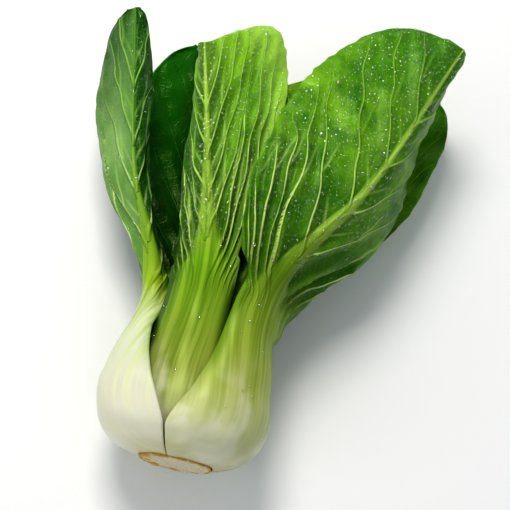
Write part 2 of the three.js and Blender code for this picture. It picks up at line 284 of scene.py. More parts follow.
    # Painted shade on a half that is turned from the light.
    turnedShadeShare = addNode(tree, "ShaderNodeMath", {
        0: share["left"], 1: share["right"],
    }, operation="ADD").outputs[0]
    veinShare = addNode(tree, "ShaderNodeMath", {
        0: share["main"], 1: share["forks"],
    }, operation="MAXIMUM").outputs[0]

    # Stalk: striped flesh, a whitish bloom low down, green margins above and golden edges near the slice. On
    # the front leaf the margins are dark green, painted shade from the left leaf over them.
    flesh, fibreColour = [
        addNode(tree, "ShaderNodeValToRGB", {"Fac": along}, [(0.0, foot)] + rest).outputs["Color"]
        for foot, rest in ((look["foot"], colours["stalk"]), (look["footStripe"], colours["stripe"]))
    ]
    stalk = addNode(tree, "ShaderNodeMix", {
        0: soft["stripes"], 6: flesh, 7: fibreColour,
    }, data_type="RGBA").outputs[2]
    for amount, coat in (
        (share["bloom"], look["bloom"]), (share["margin"], colours["margin"]), (share["edge"], look["edge"]),
    ):
        stalk = addNode(tree, "ShaderNodeMix", {
            0: amount, 6: stalk, 7: toLinear(coat),
        }, data_type="RGBA").outputs[2]

    # Blade: light and dark patches, a deeper green low down and beside the midrib, painted shade in the valleys
    # between the veins and on a half turned from the light, and painted sheen on the right margin, with the net
    # and veins over them.
    lamina = addNode(tree, "ShaderNodeMix", {
        0: patchiness, 6: toLinear(colours["shade"]), 7: toLinear(colours["light"]),
    }, data_type="RGBA").outputs[2]
    for amount, coat in (
        (soft["highBlade"], colours["tip"]), (deepAndShadeShare, colours["deep"]), (turnedShadeShare, colours["turned"]),
        (share["thin"], colours["veinHigh"]), (share["net"], colours["vein"]),
    ):
        lamina = addNode(tree, "ShaderNodeMix", {
            0: amount, 6: lamina, 7: toLinear(coat),
        }, data_type="RGBA").outputs[2]
    veinColour = addNode(tree, "ShaderNodeMix", {
        0: soft["upVein"], 6: toLinear(colours["vein"]), 7: toLinear(colours["veinHigh"]),
    }, data_type="RGBA").outputs[2]
    veined = addNode(tree, "ShaderNodeMix", {
        0: veinShare, 6: lamina, 7: veinColour,
    }, data_type="RGBA").outputs[2]
    colour = addNode(tree, "ShaderNodeMix", {0: blade, 6: stalk, 7: veined}, data_type="RGBA").outputs[2]
    tree.links.new(colour, surface.inputs["Base Color"])

    roughness = addNode(tree, "ShaderNodeMix", {
        0: blade, 2: look["stalkRoughness"], 3: look["bladeRoughness"],
    }).outputs[0]
    tree.links.new(roughness, surface.inputs["Roughness"])
    relief = addNode(tree, "ShaderNodeBump", {
        "Height": fibres, "Distance": look["fibreRelief"], "Strength": 1.0,
    }).outputs["Normal"]
    for height, reach in ((share["netHeight"], look["netRelief"]), (share["ridge"], 1.0 * mm)):
        relief = addNode(tree, "ShaderNodeBump", {
            "Height": height, "Distance": reach, "Strength": 1.0, "Normal": relief,
        }).outputs["Normal"]
    tree.links.new(relief, surface.inputs["Normal"])
    return material


# Leaf shapes. Azimuth runs round the head in degrees: 0 faces up, 90 faces +X and 180 faces the table.
head = {"cutRadius": 15.2, "bulbRadius": 36.6, "pieceGap": 0.45, "stalkEdge": 1.4, "lamina": 0.8}
rings = {
    "outer": {"depth": 0.0, "rise": 2.5, "foot": 0.0, "thick": 7.0},
    "middle": {"depth": 5.7, "rise": 3.8, "foot": 1.0, "thick": 6.6},
    "inner": {"depth": 12.3, "rise": 2.2, "foot": 1.0, "thick": 5.0},
    "heart": {"depth": 18.3, "rise": 0.6, "foot": 1.0, "thick": 2.4},
}
stemProfile = [(0, 14.6), (0.8, 15.2), (4, 14.4), (8, 12.8), (12, 10.8), (16, 8.2), (20, 5), (23, 0)]


fullTurn = 6.28    # radians


def ease(value, low, high):
    share = np.clip((value - low) / (high - low), 0.0, 1.0)
    return share * share * (3 - 2 * share)


def mix(a, b, share):
    return a + (b - a) * share


def outward(azimuth):
    turn = np.radians(azimuth)
    return np.stack([np.sin(turn), np.zeros_like(turn), np.cos(turn)], axis=-1)


def unit(vectors):
    return vectors / np.linalg.norm(vectors, axis=-1, keepdims=True)


# A centripetal curve through the points, as a dense row of points with the same count between each two.
def curveThrough(points, steps):
    given = np.array(points, float)
    full = np.vstack([2 * given[0] - given[1], given, 2 * given[-1] - given[-2]])
    t = (np.arange(steps) / steps)[:, None]
    spans = []
    for k in range(len(given) - 1):
        a, b, c, d = full[k:k + 4]
        ab, bc, cd = [np.sum((q - p) ** 2) ** 0.25 for p, q in ((a, b), (b, c), (c, d))]
        leave = ((b - a) / ab - (c - a) / (ab + bc) + (c - b) / bc) * bc
        arrive = ((c - b) / bc - (d - b) / (bc + cd) + (d - c) / cd) * bc
        bend = 2 * b - 2 * c + leave + arrive
        swell = -3 * b + 3 * c - 2 * leave - arrive
        spans.append(bend * t ** 3 + swell * t ** 2 + leave * t + b)
    return np.vstack(spans + [given[-1:]])


# The midrib goes out of the stem, round the bulb's lower corner and over its widest part to the leaf's tip.
def midribOf(leaf):
    depth = rings[leaf["ring"]]["depth"]
    cornerX = head["cutRadius"] + head["pieceGap"]
    bulb = leaf.get("bulb", head["bulbRadius"])
    corner = bulb - cornerX - depth
    bottom = 1 + depth
    start = np.interp(bottom, [h for h, _ in stemProfile], [r for _, r in stemProfile]) + head["pieceGap"]
    stalk = [(start, bottom)] if start < cornerX - 2 else []
    stalk.append((cornerX, bottom))
    for turn in np.radians((30, 60, 90)):
        stalk.append((cornerX + corner * math.sin(turn), bottom + corner * (1 - math.cos(turn))))
    stalk.append((bulb - depth - 1.3, bottom + corner + 13))
    way = outward(np.float64(leaf["azimuth"]))
    points = [way * r + np.array([0, y, 0]) for r, y in stalk]
    points += [np.array(leaf[key], float) for key in ("neck", "middle", "tip")]
    steps = 60
    dense = curveThrough(points, steps)
    lengths = np.concatenate([[0], np.cumsum(np.linalg.norm(np.diff(dense, axis=0), axis=1))])
    shares = lengths / lengths[-1]
    return {
        "points": dense, "shares": shares, "length": lengths[-1],
        "bulbAt": shares[steps * (len(stalk) - 2)], "neckAt": shares[steps * len(stalk)],
    }


# Gentle random swelling, from a few sine waves at seeded angles. Wavelengths are in mm.
def swelling(x, h, wavelengths, seed):
    draw = np.random.default_rng(seed)
    total = np.zeros_like(x)
    for wavelength in wavelengths:
        angle, phase = draw.uniform(0, 2 * math.pi, 2)
        total += np.sin(2 * math.pi * (x * math.cos(angle) + h * math.sin(angle)) / wavelength + phase)
    return total / len(wavelengths)


# Half the outline's width up one side, and the half width of the thick rib in it.
def widthsOf(leaf, midrib, s, radius, side):
    bulbAt, neckAt = midrib["bulbAt"], midrib["neckAt"]
    upStalk = np.clip((s - 0.55 * bulbAt) / (neckAt - 0.55 * bulbAt), 0, 1)
    narrowing = 1 - (1 - upStalk ** 1.3) ** leaf.get("taper", (2.1, 2.1))[side]
    stalk = mix(radius * math.radians(leaf["spread"][side]), leaf["neckHalf"][side], narrowing)
    along = np.clip((s - neckAt) / (1 - neckAt), 0, 1)
    rib = mix(stalk, 1.2, np.minimum(1, 1.25 * along ** 0.5))
    start = neckAt - leaf.get("base", (0.03, 0.03))[side]
    q = np.clip((s - start) / (1 - start), 0, 0.996)
    widest, blunt = leaf["widest"][side], leaf["blunt"]
    rise = blunt * widest / (1 - widest)
    blade = leaf["half"][side] * (q / widest) ** rise * ((1 - q) / (1 - widest)) ** blunt * ease(q, 0, 0.08)
    return rib, (rib ** 4 + blade ** 4) ** 0.25


# Veins of one side. Stalk ribs fan out at the neck, others leave the midrib higher up, and each one forks.
veinPlan = {
    "stalkRibs": (0.94, 0.8, 0.65, 0.5, 0.34, 0.17),  # where the ribs lie across half a stalk
    "fan": (25, 54),  # degrees from the midrib, for the innermost and outermost rib
    "bladeVeins": (0.1, 0.28, 0.47, 0.66),  # where veins leave the midrib, as a share of the blade
    "leave": (34, 26),  # degrees, for the lowest and highest of them
    "straighten": 0.6,  # how far a vein turns back towards the tip
    "wander": 0.8,  # mm
    "width": (0.6, 0.22),  # mm, half, at a vein's foot and at its end
    "forkRelief": 0.3,
    "ribPleat": 2.3,  # mm, how far the blade stands up under a rib near the neck
    "relief": 1.1,  # a vein's own height over its half width
}


# Each vein is its distance from the midrib, the slant's shortening and its half width, at every height. Main
# veins come from the outermost inwards, and one that has yet to leave the midrib lies beyond it.
def veinsOf(leaf, midrib, s, outline, side, seed):
    plan = veinPlan
    draw = np.random.default_rng(seed)
    h = s * midrib["length"]
    neck = midrib["neckAt"] * midrib["length"]
    blade = midrib["length"] - neck
    step = np.gradient(h)
    mains, forks = [], []

    def grow(startX, startH, angle, share, before=None, reach=None):
        straightened = 1 - plan["straighten"] * np.clip((h - startH) / blade, 0, 1)
        slope = math.tan(math.radians(angle)) * straightened
        slope = slope * ease(h, startH - 2, startH + 8)
        swing, turns = draw.uniform(0, fullTurn), draw.uniform(22, 34)
        x = startX + np.cumsum(np.where(h > startH, slope * step, 0))
        x = x + plan["wander"] * ease(h, startH + 5, startH + 30) * np.sin(h / turns * fullTurn + swing)
        progress = np.clip((h - startH) / (0.8 * blade), 0, 1)
        share = share * (1 - ease(x / outline, 0.75, 1.02))
        if reach:
            share = share * (1 - ease(h, startH + 0.5 * reach, startH + reach))
        if before is None:
            before = startX - 0.6 * (startH - h)
            share = share * (h >= startH)
        width = mix(*plan["width"], progress) * share
        return np.where(h < startH, before, x), 1 / np.sqrt(1 + slope ** 2), width

    for t in leaf.get("ribs", plan["stalkRibs"]):
        startH = neck - 7 + draw.uniform(-2, 2)
        at = np.searchsorted(h, startH)
        rib = grow(t * outline[at], startH, mix(*leaf.get("fan", plan["fan"]), t), 1.0, t * outline)
        mains.append(rib)
        forkH = startH + blade * draw.uniform(0.22, 0.34)
        forks.append(grow(np.interp(forkH, h, rib[0]), forkH, 16, 0.6, None, 26))
    for k, place in enumerate(plan["bladeVeins"]):
        startH = neck + blade * (place + draw.uniform(-0.02, 0.02))
        angle = mix(*leaf.get("leave", plan["leave"]), k / (len(plan["bladeVeins"]) - 1))
        vein = grow(0.0, startH, angle, 1.0 - 0.3 * place)
        mains.append(vein)
        forkH = startH + blade * draw.uniform(0.14, 0.24)
        forks.append(grow(np.interp(forkH, h, vein[0]), forkH, 8, 0.6, None, 24))
        forks.append(grow(0.0, startH + blade * 0.09, angle + 6, 0.5, None, 18))
    return mains, forks


# Counts the main veins across a half, so that each lies at a whole number and shaders can draw it finely.
def countVeins(mains, u):
    lines = [x for x, steep, width in mains]
    lines = [lines[0] + np.maximum(6, lines[0] - lines[1])] + lines + [lines[-1] - 6]
    for k in range(1, len(lines)):
        lines[k] = np.minimum(lines[k], lines[k - 1] - 0.5)
    steeps = [mains[0][1]] + [steep for x, steep, width in mains] + [mains[-1][1]]
    none = np.zeros_like(lines[0])
    widths = [none] + [width for x, steep, width in mains] + [none]
    count = np.where(u <= lines[-1][:, None], len(lines) - 1.0, 0.0)
    gap, half = np.full_like(u, 6.0), np.zeros_like(u)
    for k in range(len(lines) - 1):
        near, far = lines[k][:, None], lines[k + 1][:, None]
        here = (u <= near) & (u > far)
        share = (near - u) / (near - far)
        steep = mix(steeps[k][:, None], steeps[k + 1][:, None], share)
        count = np.where(here, k + share, count)
        gap = np.where(here, (near - far) * steep, gap)
        half = np.where(here, mix(widths[k][:, None], widths[k + 1][:, None], share), half)
    return count, gap, half


# Soft folds that run between the veins and catch the light, in mm and degrees from the midrib.
bands = {"height": 0.6, "spacing": 17.0, "angle": 33, "drift": 1.6, "driftWaves": (60, 43)}

# Small unevenness, in mm: a ragged margin (a share of the width) with its frill, puckers on the blade and dents
# in the stalk.
uneven = {
    "ragged": 0.006, "raggedWaves": (9.0, 5.3), "frill": 0.25, "frillWave": 13.0,
    "pucker": 0.75, "puckerWaves": (16, 12, 9, 7), "dent": 0.35, "dentWaves": (26, 19, 14),
}


# The leaf as two fine grids of points, outer and inner, closed by a rounded rim.
def shapeLeaf(leaf, seed):
    ring = rings[leaf["ring"]]
    midrib = midribOf(leaf)
    neckAt, length = midrib["neckAt"], midrib["length"]
    rows, half = leaf["grid"]
    s = 1 - (1 - np.arange(rows + 1) / rows) ** 1.12
    centre = np.stack([np.interp(s, midrib["shares"], midrib["points"][:, k]) for k in range(3)], axis=-1)
    rate = np.gradient(midrib["points"], midrib["shares"], axis=0)
    tangent = unit(np.stack([np.interp(s, midrib["shares"], rate[:, k]) for k in range(3)], axis=-1))
    radius = np.hypot(centre[:, 0], centre[:, 2])
    azimuth = np.degrees(np.arctan2(centre[:, 0], centre[:, 2]))
    bladeShare = ease(s, neckAt - 0.12, neckAt + 0.06)
    upBlade = np.clip((s - neckAt) / (1 - neckAt), 0, 1)
    turnFrom, turnTo = leaf.get("turn", (-0.05, 0.5))
    turned = ease(s, neckAt + turnFrom, mix(neckAt, 1, turnTo))
    swing = leaf["face"] - azimuth
    swing -= 360 * np.round(swing / 360)
    facing = outward(azimuth + swing * turned)
    normal = unit(facing - tangent * np.sum(facing * tangent, axis=1, keepdims=True))
    up = unit(mix(outward(azimuth), normal, bladeShare[:, None]))
    sideways = unit(mix(outward(azimuth + 90), np.cross(tangent, normal), bladeShare[:, None]))

    def column(values):
        return values[:, None]

    halves = []
    for side, sign in ((0, -1), (1, 1)):
        rib, outline = widthsOf(leaf, midrib, s, radius, side)
        ragged = np.random.default_rng(seed + side).uniform(0, fullTurn, 3)
        h = s * length
        slow, quick = uneven["raggedWaves"]
        crinkle = np.sin(h / slow * fullTurn + ragged[0]) + 0.7 * np.sin(h / quick * fullTurn + ragged[1])
        trim = outline * (1 + uneven["ragged"] * bladeShare * crinkle)
        t = (np.arange(half + 1) / half)[None, :] ** 1.06
        u = t * column(trim)
        inner = np.diff(u, axis=1)
        mid = u[:, 1:] - inner / 2
        fold = np.radians(mix(leaf["fold"][side], leaf["foldTip"][side], upBlade)) * bladeShare
        foldHere = column(fold) * np.minimum(1, mid / 5)
        curl = math.radians(leaf["curl"][side]) * mid / column(outline)
        curlHere = mix(mid / column(radius), curl, column(bladeShare))
        bend, onMidrib = foldHere + curlHere, np.zeros((rows + 1, 1))
        x = np.concatenate([onMidrib, np.cumsum(np.cos(bend) * inner, axis=1)], axis=1)
        y = -np.concatenate([onMidrib, np.cumsum(np.sin(bend) * inner, axis=1)], axis=1)
        ripple = np.sin(2 * math.pi * leaf["waves"] * upBlade + leaf["phase"] + 2 * side)
        wave = column(bladeShare * leaf["waveHeight"] * ripple) * t ** 2.2
        frill = column(bladeShare * np.sin(h / uneven["frillWave"] * fullTurn + ragged[2]))
        frill = frill * uneven["frill"] * t ** 6
        lean = leaf.get("lean", (0, 0))[side] * (u / leaf["half"][side]) ** 1.3 * column(bladeShare)
        point = (centre[:, None, :] + sign * x[..., None] * sideways[:, None, :]
                 + (y + wave + frill)[..., None] * up[:, None, :] + lean[..., None] * tangent[:, None, :])

        # The rib shows narrower than the solid's, and fines down to a thread at the tip.
        upRib = np.clip((s - neckAt + 0.09) / (1 - neckAt), 0, 1)
        ribLook = mix(rib, leaf.get("ribShow", 2.3) * (1 - 0.8 * upBlade), np.minimum(1, 1.3 * upRib ** 0.6))
        bulge = np.maximum(0, 1 - (u / column(ribLook)) ** 2) ** 0.8
        ridgeOut = column(mix(3, 0.4, upBlade ** 0.7)) * bulge
        ridgeIn = column(mix(3, 0.1, upBlade ** 0.5)) * bulge
        bulbAt = midrib["bulbAt"]
        tuck = leaf.get("tuck", (0, 0))[side] * column(ease(s, 0.5 * bulbAt, bulbAt))
        flush = column(mix(ring["foot"], 1, ease(s, 0, 0.5 * bulbAt)))
        sink = ring["rise"] * t ** 1.6 * flush + tuck * t ** 3
        crescent = head["stalkEdge"] + (ring["thick"] - head["stalkEdge"]) * (1 - t * t) ** 1.2

        # The blade stands up under each main vein. Forks are small and stand out by themselves.
        onBlade = column(bladeShare)
        offRib = ease(u / column(ribLook), 0.5, 1.4)
        mains, forks = veinsOf(leaf, midrib, s, trim, side, seed * 7 + side)
        count, gap, veinHalf = countVeins(mains, u)
        between = 2 * np.abs(count - np.round(count))
        crest = (1 - ease(between, 0.0, 0.9)) * np.clip(veinHalf / 0.25, 0, 1)
        pleat = np.minimum(veinPlan["ribPleat"], 0.3 * gap) * column(mix(1, 0.35, ease(upBlade, 0.05, 0.5)))
        wide = crest * pleat * column(ease(s, neckAt - 0.1, neckAt + 0.06))
        mask = np.zeros_like(u)
        for veinX, steep, width in forks:
            away = np.abs(u - column(veinX)) * column(steep)
            mask = np.maximum(mask, column(np.clip(width / 0.35, 0, 1)) * np.exp(-(away / 0.45) ** 2))
        signed = sign * u
        pucker = swelling(signed, column(h), uneven["puckerWaves"], seed * 11 + side)
        pucker = pucker * uneven["pucker"] * onBlade * t ** 0.7
        slant = math.radians(bands["angle"])
        acrossVeins = column(h) * math.sin(slant) - u * math.cos(slant)
        drift = bands["drift"] * swelling(signed, column(h), bands["driftWaves"], seed * 17 + side)
        banding = np.sin(2 * math.pi * acrossVeins / bands["spacing"] + 2 * side + seed + drift)
        pucker = pucker + (bands["height"] * banding * onBlade * ease(t, 0.08, 0.3)
                           * (1 - 0.6 * ease(t, 0.8, 1)))
        dents = swelling(signed, column(h), uneven["dentWaves"], seed * 13) * uneven["dent"] * (1 - onBlade)
        strong = leaf.get("veinRelief", (1.0, 1.0))[side]
        calm = 1 - ease(t, 0.86, 1.0)
        relief = (wide * strong + pucker) * offRib * calm + dents
        outRelief = mask * veinPlan["forkRelief"] * strong * onBlade
        # Green begins low between the ribs and higher on them.
        start = column(s - neckAt) - 0.09 * crest
        lamina = ease(u / column(ribLook), 0.6, 1.3) * ease(start, -0.12, 0.03)
        halves.append({
            "point": point,
            "raise": mix(-sink, ridgeOut, onBlade) + relief + outRelief,
            "thick": mix(crescent, head["lamina"] + ridgeOut + ridgeIn, onBlade) + outRelief,
            "map": np.stack([signed + 0 * column(h), column(h) + 0 * u], axis=-1) / mapUnit,
            "blade": lamina, "veins": mask * onBlade, "side": np.full_like(u, float(side)),
            "veinCount": count, "veinGap": gap,
            "veinHalf": veinHalf * column(ease(s, neckAt - 0.09, neckAt + 0.03)),
            "across": t * leaf.get("greenMargin", (1.0, 1.0))[side] + 0 * u,
        })

    def join(key):
        return np.concatenate([halves[0][key][:, :0:-1], halves[1][key]], axis=1)

    skin = join("point")
    alongU = np.gradient(skin, axis=1)
    alongS = np.gradient(skin, axis=0)
    normals = unit(np.cross(alongU, alongS))
    outer = skin + normals * join("raise")[..., None]
    inner = outer - normals * join("thick")[..., None]
    # What would sink into the table is pressed flat on it.
    low = np.minimum(outer[..., 2], inner[..., 2]) + cutCentre[2]
    shoulder = mix(0.4, 3, bladeShare)[:, None]
    between = (low + shoulder) ** 2 / (4 * shoulder)
    pressed = np.where(low >= shoulder, low, np.where(low <= -shoulder, 0, between))
    outer[..., 2] += pressed - low
    inner[..., 2] += pressed - low

    # The rim, once round: along the foot, up the right margin, back over the tip and down the left margin.
    last = skin.shape[1] - 1
    rim = [(0, j) for j in range(last)] + [(i, last) for i in range(rows)]
    rim += [(rows, j) for j in range(last, 0, -1)] + [(i, 0) for i in range(rows, 0, -1)]
    ri, rj = np.array(rim).T
    away = (np.where(rj == 0, -1, np.where(rj == last, 1, 0))[:, None] * unit(alongU[ri, rj])
            + np.where(ri == 0, -1, np.where(ri == rows, 1, 0))[:, None] * unit(alongS[ri, rj]))
    thickness = join("thick")[ri, rj]
    edge = (outer[ri, rj] + inner[ri, rj]) / 2 + unit(away) * np.minimum(0.35 * thickness, 0.4)[:, None]
    edge[:, 2] = np.maximum(edge[:, 2], -cutCentre[2])

    count = outer.shape[0] * outer.shape[1]
    number = np.arange(count).reshape(outer.shape[:2])
    corners = (number[:-1, :-1], number[:-1, 1:], number[1:, 1:], number[1:, :-1])
    front = np.stack(corners, axis=-1).reshape(-1, 4)
    back = front[:, ::-1] + count
    ring1, ring2 = number[ri, rj], number[ri, rj] + count
    middle = 2 * count + np.arange(len(rim))
    upper = np.stack([np.roll(ring1, -1), ring1, middle, np.roll(middle, -1)], axis=-1)
    lower = np.stack([np.roll(middle, -1), middle, ring2, np.roll(ring2, -1)], axis=-1)

    def spread(grid):
        flat = grid.reshape(count, -1)
        return np.concatenate([flat, flat, flat[ring1]])

    points = np.concatenate([outer.reshape(-1, 3), inner.reshape(-1, 3), edge]) + cutCentre
    along = np.where(s < neckAt, 0.5 * s / neckAt, 0.5 + 0.5 * upBlade)[:, None] + 0 * join("blade")
    inside = np.concatenate([np.zeros(count), np.ones(count), np.full(len(rim), 0.5)])
    values = {key: spread(join(key))[:, 0] for key in (
        "blade", "veins", "across", "side", "veinCount", "veinGap", "veinHalf",
    )}
    values["along"] = spread(along)[:, 0]
    # Veins show less on the inner face.
    values["veins"] *= 1 - 0.6 * inside
    values["veinHalf"] *= 1 - 0.5 * inside
    return {
        "points": points * mm, "quads": np.concatenate([front, back, upper, lower]),
        "map": spread(join("map")), "values": values,
        "outer": (outer + cutCentre) * mm, "normals": normals, "along": along,
    }


def addMesh(name, points, faces, values=None, leafMap=None, material=None):
    mesh = bpy.data.meshes.new(name)
    mesh.vertices.add(len(points))
    mesh.vertices.foreach_set("co", np.ascontiguousarray(points, dtype=np.float32).ravel())
    mesh.loops.add(faces.size)
    mesh.loops.foreach_set("vertex_index", faces.ravel().astype(np.int32))
    mesh.polygons.add(len(faces))
    mesh.polygons.foreach_set("loop_start", np.arange(0, faces.size, faces.shape[1], dtype=np.int32))
    mesh.polygons.foreach_set("use_smooth", np.ones(len(faces), dtype=bool))
    mesh.update(calc_edges=True)
    for key, numbers in (values or {}).items():
        mesh.attributes.new(key, "FLOAT", "POINT").data.foreach_set("value", numbers.astype(np.float32))
    if leafMap is not None:
        corners = leafMap[faces.ravel()].astype(np.float32)
        mesh.uv_layers.new(name="leafMap").data.foreach_set("uv", corners.ravel())
    obj = bpy.data.objects.new(name, mesh)
    bpy.context.scene.collection.objects.link(obj)
    if material:
        mesh.materials.append(material)
    return obj


# Neck, middle and tip are points on the midrib (x, y, z from the middle of the slice, mm). Pairs are for the
# left and right half, seen from outside with the tip up. Half is a half's width, and fold and curl turn it
# towards the heart.
leaves = {
    "leaf_right": {
        "ring": "outer", "azimuth": 46, "spread": (59, 58), "neckHalf": (13, 13), "widest": (0.56, 0.24),
        "neck": (25, 78, 23), "middle": (55, 126, 30), "tip": (85, 201, 24), "face": 12, "blunt": 0.42,
        "base": (0.03, 0.12), "tuck": (2.4, 0), "greenMargin": (0.9, 1.2),
        "half": (50, 40), "fold": (4, 10), "foldTip": (2, 80), "curl": (14, 26),
        "waves": 3.5, "waveHeight": 1.6, "phase": 0.4, "grid": (260, 84), "tissue": "outer",
    },
    "leaf_left": {
        "ring": "outer", "azimuth": -78, "spread": (58, 62.5), "neckHalf": (10.5, 9.3),
        "neck": (-27.5, 76, 4), "middle": (-43.8, 118, 14), "tip": (-60, 191, 18), "face": -22,
        "turn": (-0.14, 0.12), "taper": (2.1, 1.4), "bulb": 38.6, "veinRelief": (0.6, 0.1), "tuck": (0, 1.4),
        "widest": (0.7, 0.62), "ribShow": 1.1, "greenMargin": (0.9, 0.8),
        "ribs": (0.85, 0.55, 0.25), "fan": (10, 30), "leave": (24, 18),
        "half": (24, 11), "fold": (10, 96), "foldTip": (16, 56), "curl": (22, 8),
        "waveHeight": 1.2, "phase": 1.9, "grid": (230, 64), "tissue": "pale",
    },
    "leaf_back": {
        "ring": "outer", "azimuth": 163, "spread": (57, 57), "neckHalf": (13, 13), "widest": (0.6, 0.6),
        "neck": (6, 76, -31), "middle": (1, 130, -39), "tip": (2, 192, -40), "face": 180,
        "half": (28, 34), "fold": (2, 2), "foldTip": (2, 2), "curl": (8, 14),
        "waveHeight": 1.6, "phase": 0.9, "grid": (150, 48), "tissue": "back",
    },
    # Its left margin reaches further into the margin colour, painted shade from the left leaf over it.
    "leaf_front": {
        "ring": "middle", "azimuth": -18, "spread": (59, 58), "neckHalf": (18.5, 14.5),
        "blunt": 0.33, "neck": (-5.5, 79, 27), "middle": (-14.5, 126, 31), "tip": (-26, 175, 31), "face": 4,
        "lean": (0, 28), "half": (17, 38), "fold": (22, 6), "foldTip": (88, 4), "curl": (20, 16),
        "widest": (0.4, 0.68), "fan": (13, 34), "leave": (24, 20), "greenMargin": (1.15, 1.0),
        "waveHeight": 1.2, "phase": 2.8, "grid": (240, 66), "tissue": "front",
    },
    "leaf_back_right": {
        "ring": "middle", "azimuth": 104, "spread": (58, 58), "neckHalf": (12, 12), "widest": (0.64, 0.56),
        "neck": (25, 75, -12), "middle": (53, 122, -19), "tip": (81, 194, -20), "face": 162,
        "half": (20, 34), "fold": (4, 4), "foldTip": (4, 4), "curl": (10, 34),
        "waves": 3.5, "waveHeight": 1.4, "phase": 1.2, "grid": (150, 48), "tissue": "outer",
    },
    "leaf_back_left": {
        "ring": "middle", "azimuth": -137, "spread": (58, 58), "neckHalf": (12, 14), "widest": (0.6, 0.62),
        "neck": (-16, 76, -20), "middle": (-22, 128, -28), "tip": (-30, 198, -22), "face": -168,
        "taper": (2.1, 1.5), "blunt": 0.5,
        "half": (32, 29), "fold": (4, 4), "foldTip": (4, 4), "curl": (16, 10),
        "waveHeight": 1.4, "phase": 2.2, "grid": (150, 48), "tissue": "back",
    },
    "leaf_inner_right": {
        "ring": "inner", "azimuth": 46, "widest": (0.6, 0.6), "blunt": 0.4, "half": (20, 22),
        "neck": (12, 74, 11), "middle": (19, 118, 11), "tip": (23, 174, 14), "face": 30,
        "curl": (26, 30), "phase": 0.3, "tissue": "front",
    },
    "leaf_inner_left": {
        "ring": "inner", "azimuth": -78, "neckHalf": (8, 8), "half": (18, 18), "curl": (34, 34),
        "neck": (-14.5, 72, 3), "middle": (-15, 112, 4), "tip": (-16, 160, 7), "face": -64, "phase": 1.5,
    },
    "leaf_inner_back": {
        "ring": "inner", "azimuth": 163, "half": (20, 18), "curl": (34, 30),
        "neck": (4, 72, -14), "middle": (6, 114, -15), "tip": (8, 164, -12), "face": 165, "phase": 2.6,
    },
    "heart_leaf_front": {
        "ring": "heart", "azimuth": -20, "neckHalf": (5, 5), "half": (10, 10),
        "neck": (-3, 64, 9), "middle": (-4, 95, 9), "tip": (-5, 134, 11), "face": -20, "phase": 0,
    },
    "heart_leaf_right": {
        "ring": "heart", "azimuth": 100, "half": (7.5, 7.5),
        "neck": (8, 60, -2), "middle": (9, 86, -3), "tip": (10, 120, -3), "face": 100, "phase": 1,
    },
    "heart_leaf_left": {
        "ring": "heart", "azimuth": -140, "half": (7, 7),
        "neck": (-6, 56, -6), "middle": (-7, 80, -7), "tip": (-8, 106, -7), "face": -140, "phase": 2,
    },
}

# What the leaves share, where they don't say otherwise: all of them, and then those of a ring.
usual = {"blunt": 0.45, "waves": 3, "widest": (0.58, 0.58)}
usualInRing = {
    "inner": {
        "spread": (56, 56), "neckHalf": (9, 9), "fold": (10, 10), "foldTip": (10, 10), "waveHeight": 0.8,
        "grid": (96, 28), "tissue": "back",
    },
    "heart": {
        "spread": (50, 50), "neckHalf": (4.5, 4.5), "fold": (12, 12), "foldTip": (12, 12), "curl": (36, 36),
        "waves": 2, "waveHeight": 0.4, "grid": (64, 16), "tissue": "heart", "veinRelief": (0.4, 0.4),
    },
}

materials = {kind: leafMaterial("leafTissue_" + kind, colours) for kind, colours in leafColours.items()}
print("leaf tissue ready")

shapes = {}
firstSeed = 20
for number, (name, given) in enumerate(leaves.items()):
    leaf = {**usual, **usualInRing.get(given["ring"], {}), **given}
    shape = shapeLeaf(leaf, firstSeed + number)
    shapes[name] = shape
    piece = addMesh("grown_" + name, shape["points"], shape["quads"], shape["values"], shape["map"],
                    materials[leaf["tissue"]])
    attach(piece, "root")
    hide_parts(name)
print("leaves grown")


# Cut stem: pale pithy flesh that has dried a little since it was sliced, so it is matt, with a browned rim.
cutFlesh = {
    "pith": "#d2cab4", "dry": "#cdbf8e", "rim": "#c49a44", "bundle": "#8f7c46",
    "roughness": 0.62, "ior": 1.4, "glow": 0.15, "glowReach": (1.0, 0.8, 0.4), "glowDepth": 1.5 * mm,
    "bundleSpacing": 2.2 * mm, "grain": 3.6 * mm, "relief": 0.35 * mm,
}
# Its sliced face, in mm from the flat slice.
knifeCut = {"radius": 14.4, "height": 0.35, "swell": 0.3, "waves": (11, 7, 5), "drop": 0.25, "dropFrom": 11.5}


